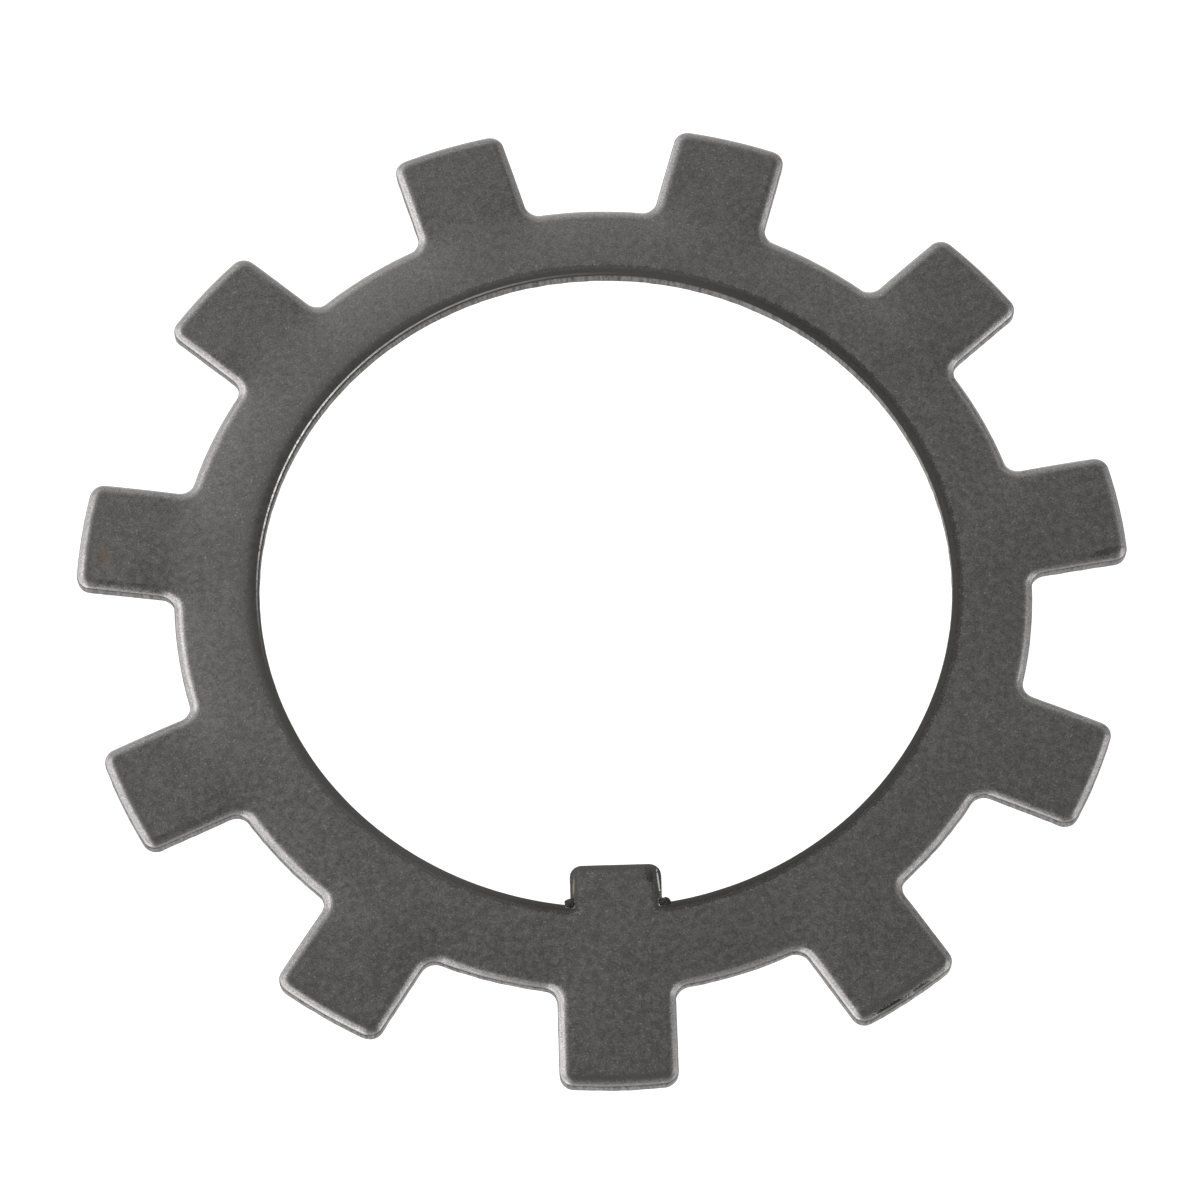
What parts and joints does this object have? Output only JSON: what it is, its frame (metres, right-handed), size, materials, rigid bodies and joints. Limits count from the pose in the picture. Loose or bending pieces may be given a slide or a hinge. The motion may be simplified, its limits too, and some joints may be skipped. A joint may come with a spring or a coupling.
{
  "type": "lock washer",
  "caption": "Flat stamped keyed lock washer: a thin steel ring with square tabs around its rim to bend into a lock nut's slots and a key tab in the bore for a shaft's keyway.",
  "frame": {"origin": "on the bore's axis, in the plane of the lower face", "axes": "+Z along the bore's axis, out of the upper face with the rolled edges; -Y towards the key tab"},
  "size_m": [0.0738, 0.0733, 0.001],
  "materials": {
    "tumbled_steel": "satin"
  },
  "bodies": {
    "root": {"lock_washer": "tumbled_steel"}
  },
  "joints": []
}
